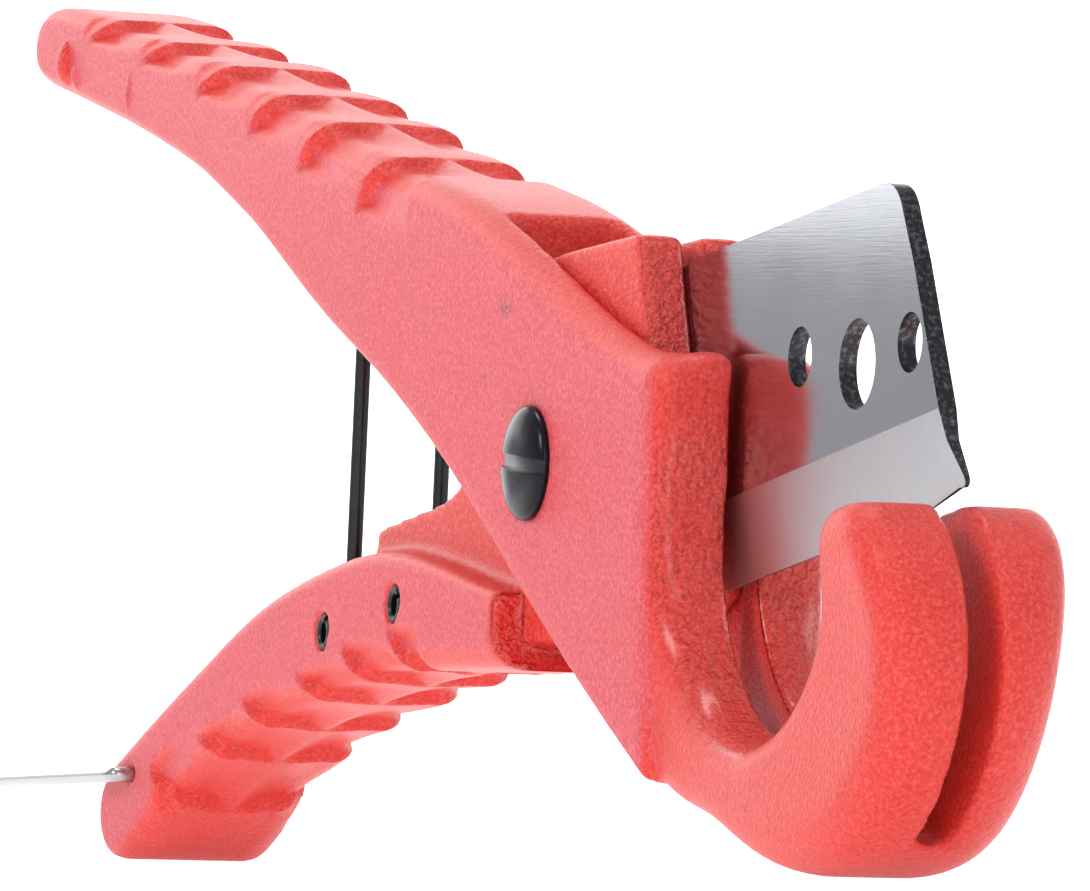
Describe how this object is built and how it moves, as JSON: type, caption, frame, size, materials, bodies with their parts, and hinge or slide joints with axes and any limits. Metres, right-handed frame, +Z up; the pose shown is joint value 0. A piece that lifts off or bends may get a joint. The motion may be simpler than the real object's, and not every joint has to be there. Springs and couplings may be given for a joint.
{
  "type": "pvc pipe cutter",
  "caption": "One-hand scissor cutter for plastic pipe: fixed handle with a slotted hook jaw, a pivoted lever carrying a flat blade, return spring and wire latch.",
  "frame": {"origin": "centre of the box's underside: the open tool stands on the bottom of its hook and on the end of its lever", "axes": "+X from the handle ends to the jaw, +Y to the far cheek along the main pivot, +Z up"},
  "size_m": [0.2755, 0.025, 0.1071],
  "materials": {
    "red_paint": "red powder coat over die-cast metal, fine grain",
    "blade_steel": "ground and polished blade steel",
    "black_oxide": "glossy black oxide",
    "spring_steel": "dark spring steel",
    "bright_wire": "bright zinc plated wire",
    "bronze": "bare bronze",
    "dowel_steel": "ground steel"
  },
  "bodies": {
    "body": {"body_casting": "red_paint", "pivot_screw": "black_oxide", "pivot_nut": "black_oxide", "thrust_washer_near": "bronze", "thrust_washer_far": "bronze"},
    "lever": {"lever_casting": "red_paint", "blade": "blade_steel", "blade_dowel_upper": "dowel_steel", "blade_dowel_lower": "dowel_steel", "spring_pin": "spring_steel", "anchor_pin": "spring_steel", "handle_spring": "spring_steel"},
    "bail": {"latch_bail": "bright_wire"}
  },
  "joints": [
    {"name": "handle_pivot", "type": "hinge", "parent": "body", "child": "lever", "pos_m": [0.04703, 0, 0.04054], "axis": [0, 1, 0], "range_deg": [-20, 21], "stiffness_Nm_per_rad": 1.5, "deforming": ["handle_spring"]},
    {"name": "latch_swing", "type": "hinge", "parent": "lever", "child": "bail", "pos_m": [-0.08596, 0, 0.01001], "axis": [0, 1, 0], "range_deg": [-50, 31.7]}
  ]
}
